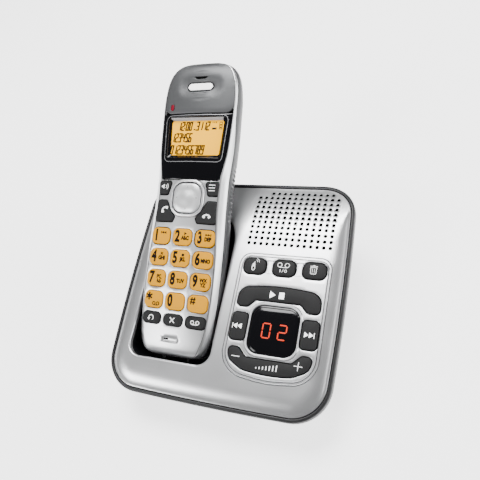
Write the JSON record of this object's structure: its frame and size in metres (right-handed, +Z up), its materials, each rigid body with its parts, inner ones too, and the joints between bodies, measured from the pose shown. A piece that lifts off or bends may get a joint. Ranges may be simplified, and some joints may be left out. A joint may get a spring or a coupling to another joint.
{
  "type": "cordless telephone with answering machine base",
  "caption": "Cordless phone: a keypad handset with a display lying in the charging cradle of an answering machine base with a button panel and a speaker grille.",
  "frame": {"origin": "on the table, under the middle of the whole phone's length and width", "axes": "+Z up; -Y towards the user, at the base's front edge; +X to the right, where the button panel is"},
  "size_m": [0.1236, 0.1686, 0.0993],
  "materials": {
    "silver_paint": "satin silver metallic paint on plastic",
    "grey_plastic": "satin grey plastic",
    "charcoal_plastic": "fine matte charcoal plastic",
    "black_plastic": "black plastic",
    "gloss_black": "polished black window plastic",
    "amber_keys": "satin amber plastic",
    "white_insert": "gloss white plastic",
    "red_lamp": "clear red plastic",
    "module_plastic": "display module with a lit face",
    "circuit_board": "green laminate",
    "rubber": "matte rubber",
    "steel": "bright steel",
    "speaker": "paper cone and magnet, as one heavy solid",
    "contact_metal": "gold plated contact",
    "battery_cell": "wrapped cells"
  },
  "bodies": {
    "base": {"base_bottom_housing": "charcoal_plastic", "base_top_cover": "silver_paint", "cradle_liner": "black_plastic", "base_circuit_board": "circuit_board", "display_window": "gloss_black", "led_display_module": "module_plastic", "base_speaker": "speaker", "base_charge_contact_left": "contact_metal", "base_charge_contact_right": "contact_metal", "foot_front_left": "rubber", "foot_front_right": "rubber", "foot_rear_left": "rubber", "foot_rear_right": "rubber", "base_screw_left": "steel", "base_screw_right": "steel", "power_socket": "black_plastic", "line_socket": "black_plastic"},
    "find_handset_button": {"find_handset_button": "charcoal_plastic"},
    "answer_on_off_button": {"answer_on_off_button": "charcoal_plastic"},
    "delete_button": {"delete_button": "charcoal_plastic"},
    "play_stop_button": {"play_stop_button": "charcoal_plastic"},
    "skip_back_button": {"skip_back_button": "charcoal_plastic"},
    "skip_forward_button": {"skip_forward_button": "charcoal_plastic"},
    "volume_rocker": {"volume_rocker": "charcoal_plastic"},
    "handset": {"handset_front_shell": "silver_paint", "handset_back_shell": "grey_plastic", "head_cap": "grey_plastic", "display_lens": "gloss_black", "earpiece_trim": "white_insert", "message_lamp": "red_lamp", "lcd_module": "module_plastic", "keypad_mat": "rubber", "handset_circuit_board": "circuit_board", "earpiece_speaker": "speaker", "microphone": "steel", "battery_pack": "battery_cell", "handset_charge_contact_left": "contact_metal", "handset_charge_contact_right": "contact_metal"},
    "battery_door": {"battery_door": "grey_plastic"},
    "navigation_pivot": {"navigation_pivot": "rubber"},
    "navigation_pad": {"navigation_pad": "silver_paint"},
    "key_1": {"key_1": "amber_keys"},
    "key_2": {"key_2": "amber_keys"},
    "key_3": {"key_3": "amber_keys"},
    "key_4": {"key_4": "amber_keys"},
    "key_5": {"key_5": "amber_keys"},
    "key_6": {"key_6": "amber_keys"},
    "key_7": {"key_7": "amber_keys"},
    "key_8": {"key_8": "amber_keys"},
    "key_9": {"key_9": "amber_keys"},
    "key_star": {"key_star": "amber_keys"},
    "key_0": {"key_0": "amber_keys"},
    "key_hash": {"key_hash": "amber_keys"},
    "redial_key": {"redial_key": "charcoal_plastic"},
    "clear_key": {"clear_key": "charcoal_plastic"},
    "message_key": {"message_key": "charcoal_plastic"},
    "speaker_key": {"speaker_key": "charcoal_plastic"},
    "menu_key": {"menu_key": "charcoal_plastic"},
    "talk_key": {"talk_key": "charcoal_plastic"},
    "end_key": {"end_key": "charcoal_plastic"}
  },
  "joints": [
    {"name": "find_handset_button_press", "type": "slide", "parent": "base", "child": "find_handset_button", "axis": [0, 0.2079, -0.9781], "range_m": [0, 0.0009], "stiffness_N_per_m": 400},
    {"name": "answer_on_off_button_press", "type": "slide", "parent": "base", "child": "answer_on_off_button", "axis": [0, 0.2079, -0.9781], "range_m": [0, 0.0009], "stiffness_N_per_m": 400},
    {"name": "delete_button_press", "type": "slide", "parent": "base", "child": "delete_button", "axis": [0, 0.2079, -0.9781], "range_m": [0, 0.0009], "stiffness_N_per_m": 400},
    {"name": "play_stop_button_press", "type": "slide", "parent": "base", "child": "play_stop_button", "axis": [0, 0.2079, -0.9781], "range_m": [0, 0.0009], "stiffness_N_per_m": 400},
    {"name": "skip_back_button_press", "type": "slide", "parent": "base", "child": "skip_back_button", "axis": [0, 0.2079, -0.9781], "range_m": [0, 0.0009], "stiffness_N_per_m": 400},
    {"name": "skip_forward_button_press", "type": "slide", "parent": "base", "child": "skip_forward_button", "axis": [0, 0.2079, -0.9781], "range_m": [0, 0.0009], "stiffness_N_per_m": 400},
    {"name": "volume_rock", "type": "hinge", "parent": "base", "child": "volume_rocker", "pos_m": [0.02894, -0.05961, 0.02804], "axis": [0, 0.9781, 0.2079], "range_deg": [-2, 2], "stiffness_Nm_per_rad": 0.1},
    {"name": "handset_lift", "type": "slide", "parent": "base", "child": "handset", "axis": [0, -0.2079, 0.9781], "range_m": [0, 0.12]},
    {"name": "battery_door_slide", "type": "slide", "parent": "handset", "child": "battery_door", "axis": [0, -0.8992, -0.4375], "range_m": [0, 0.003]},
    {"name": "navigation_up_down", "type": "hinge", "parent": "handset", "child": "navigation_pivot", "pos_m": [-0.0256, 0.01267, 0.06343], "axis": [1, 0, 0], "range_deg": [-2.5, 2.5], "stiffness_Nm_per_rad": 0.03},
    {"name": "navigation_left_right", "type": "hinge", "parent": "navigation_pivot", "child": "navigation_pad", "pos_m": [-0.0256, 0.01267, 0.06343], "axis": [0, 0.888, 0.4599], "range_deg": [-2.5, 2.5], "stiffness_Nm_per_rad": 0.03},
    {"name": "key_1_press", "type": "slide", "parent": "handset", "child": "key_1", "axis": [0, 0.4599, -0.888], "range_m": [0, 0.0008], "stiffness_N_per_m": 400},
    {"name": "key_2_press", "type": "slide", "parent": "handset", "child": "key_2", "axis": [0, 0.4599, -0.888], "range_m": [0, 0.0008], "stiffness_N_per_m": 400},
    {"name": "key_3_press", "type": "slide", "parent": "handset", "child": "key_3", "axis": [0, 0.4599, -0.888], "range_m": [0, 0.0008], "stiffness_N_per_m": 400},
    {"name": "key_4_press", "type": "slide", "parent": "handset", "child": "key_4", "axis": [0, 0.4599, -0.888], "range_m": [0, 0.0008], "stiffness_N_per_m": 400},
    {"name": "key_5_press", "type": "slide", "parent": "handset", "child": "key_5", "axis": [0, 0.4599, -0.888], "range_m": [0, 0.0008], "stiffness_N_per_m": 400},
    {"name": "key_6_press", "type": "slide", "parent": "handset", "child": "key_6", "axis": [0, 0.4599, -0.888], "range_m": [0, 0.0008], "stiffness_N_per_m": 400},
    {"name": "key_7_press", "type": "slide", "parent": "handset", "child": "key_7", "axis": [0, 0.4599, -0.888], "range_m": [0, 0.0008], "stiffness_N_per_m": 400},
    {"name": "key_8_press", "type": "slide", "parent": "handset", "child": "key_8", "axis": [0, 0.4599, -0.888], "range_m": [0, 0.0008], "stiffness_N_per_m": 400},
    {"name": "key_9_press", "type": "slide", "parent": "handset", "child": "key_9", "axis": [0, 0.4599, -0.888], "range_m": [0, 0.0008], "stiffness_N_per_m": 400},
    {"name": "key_star_press", "type": "slide", "parent": "handset", "child": "key_star", "axis": [0, 0.4599, -0.888], "range_m": [0, 0.0008], "stiffness_N_per_m": 400},
    {"name": "key_0_press", "type": "slide", "parent": "handset", "child": "key_0", "axis": [0, 0.4599, -0.888], "range_m": [0, 0.0008], "stiffness_N_per_m": 400},
    {"name": "key_hash_press", "type": "slide", "parent": "handset", "child": "key_hash", "axis": [0, 0.4599, -0.888], "range_m": [0, 0.0008], "stiffness_N_per_m": 400},
    {"name": "redial_key_press", "type": "slide", "parent": "handset", "child": "redial_key", "axis": [0, 0.4599, -0.888], "range_m": [0, 0.0008], "stiffness_N_per_m": 400},
    {"name": "clear_key_press", "type": "slide", "parent": "handset", "child": "clear_key", "axis": [0, 0.4599, -0.888], "range_m": [0, 0.0008], "stiffness_N_per_m": 400},
    {"name": "message_key_press", "type": "slide", "parent": "handset", "child": "message_key", "axis": [0, 0.4599, -0.888], "range_m": [0, 0.0008], "stiffness_N_per_m": 400},
    {"name": "speaker_key_press", "type": "slide", "parent": "handset", "child": "speaker_key", "axis": [0, 0.4599, -0.888], "range_m": [0, 0.0008], "stiffness_N_per_m": 400},
    {"name": "menu_key_press", "type": "slide", "parent": "handset", "child": "menu_key", "axis": [0, 0.4599, -0.888], "range_m": [0, 0.0008], "stiffness_N_per_m": 400},
    {"name": "talk_key_press", "type": "slide", "parent": "handset", "child": "talk_key", "axis": [0, 0.4599, -0.888], "range_m": [0, 0.0008], "stiffness_N_per_m": 400},
    {"name": "end_key_press", "type": "slide", "parent": "handset", "child": "end_key", "axis": [0, 0.4599, -0.888], "range_m": [0, 0.0008], "stiffness_N_per_m": 400}
  ]
}
